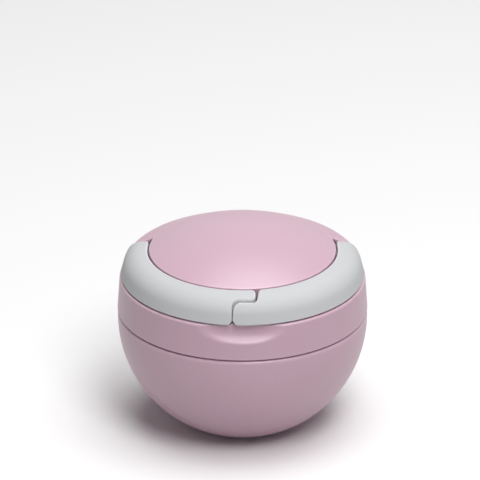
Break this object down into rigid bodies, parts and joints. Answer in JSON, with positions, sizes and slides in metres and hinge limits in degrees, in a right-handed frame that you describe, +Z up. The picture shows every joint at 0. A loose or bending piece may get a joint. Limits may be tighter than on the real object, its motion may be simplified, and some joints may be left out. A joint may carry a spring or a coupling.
{
  "type": "pacifier case",
  "caption": "Ball-shaped moulded case for a pacifier: flat-based bowl, screw-on domed lid and a carry handle in hinged halves that lap at the front and lift apart to take a strap.",
  "frame": {"origin": "centre of the flat face under the bowl", "axes": "+Z up along the axis that the lid screws on, -Y the front, where the handle's lap and the finger scoop are, +X to the right seen from the front"},
  "size_m": [0.064, 0.064, 0.0535],
  "materials": {
    "pink_plastic": "fine satin moulded surface, pale dusty pink",
    "grey_plastic": "fine satin moulded surface, pale warm grey",
    "seal_silicone": "matt translucent white silicone"
  },
  "bodies": {
    "bowl": {"bowl": "pink_plastic"},
    "seal": {"lid_seal": "seal_silicone"},
    "lid": {"lid": "pink_plastic"},
    "handle_left": {"handle_left": "grey_plastic"},
    "handle_right": {"handle_right": "grey_plastic"}
  },
  "joints": [
    {"name": "lid_lift", "type": "slide", "parent": "bowl", "child": "seal", "axis": [0, 0, 1], "range_m": [0, 0.0125]},
    {"name": "lid_twist", "type": "hinge", "parent": "seal", "child": "lid", "pos_m": [0, 0, 0], "axis": [0, 0, 1], "range_deg": [0, 450]},
    {"name": "handle_left_hinge", "type": "hinge", "parent": "lid", "child": "handle_left", "pos_m": [-0.024, 0.0037, 0.04457], "axis": [-1, 0, 0], "range_deg": [0, 90]},
    {"name": "handle_right_hinge", "type": "hinge", "parent": "lid", "child": "handle_right", "pos_m": [0.024, 0.0037, 0.04457], "axis": [-1, 0, 0], "range_deg": [0, 90]}
  ],
  "couplings": [
    {"joint": "lid_lift", "follows": "lid_twist", "m_per_rad": 0.0015915}
  ]
}
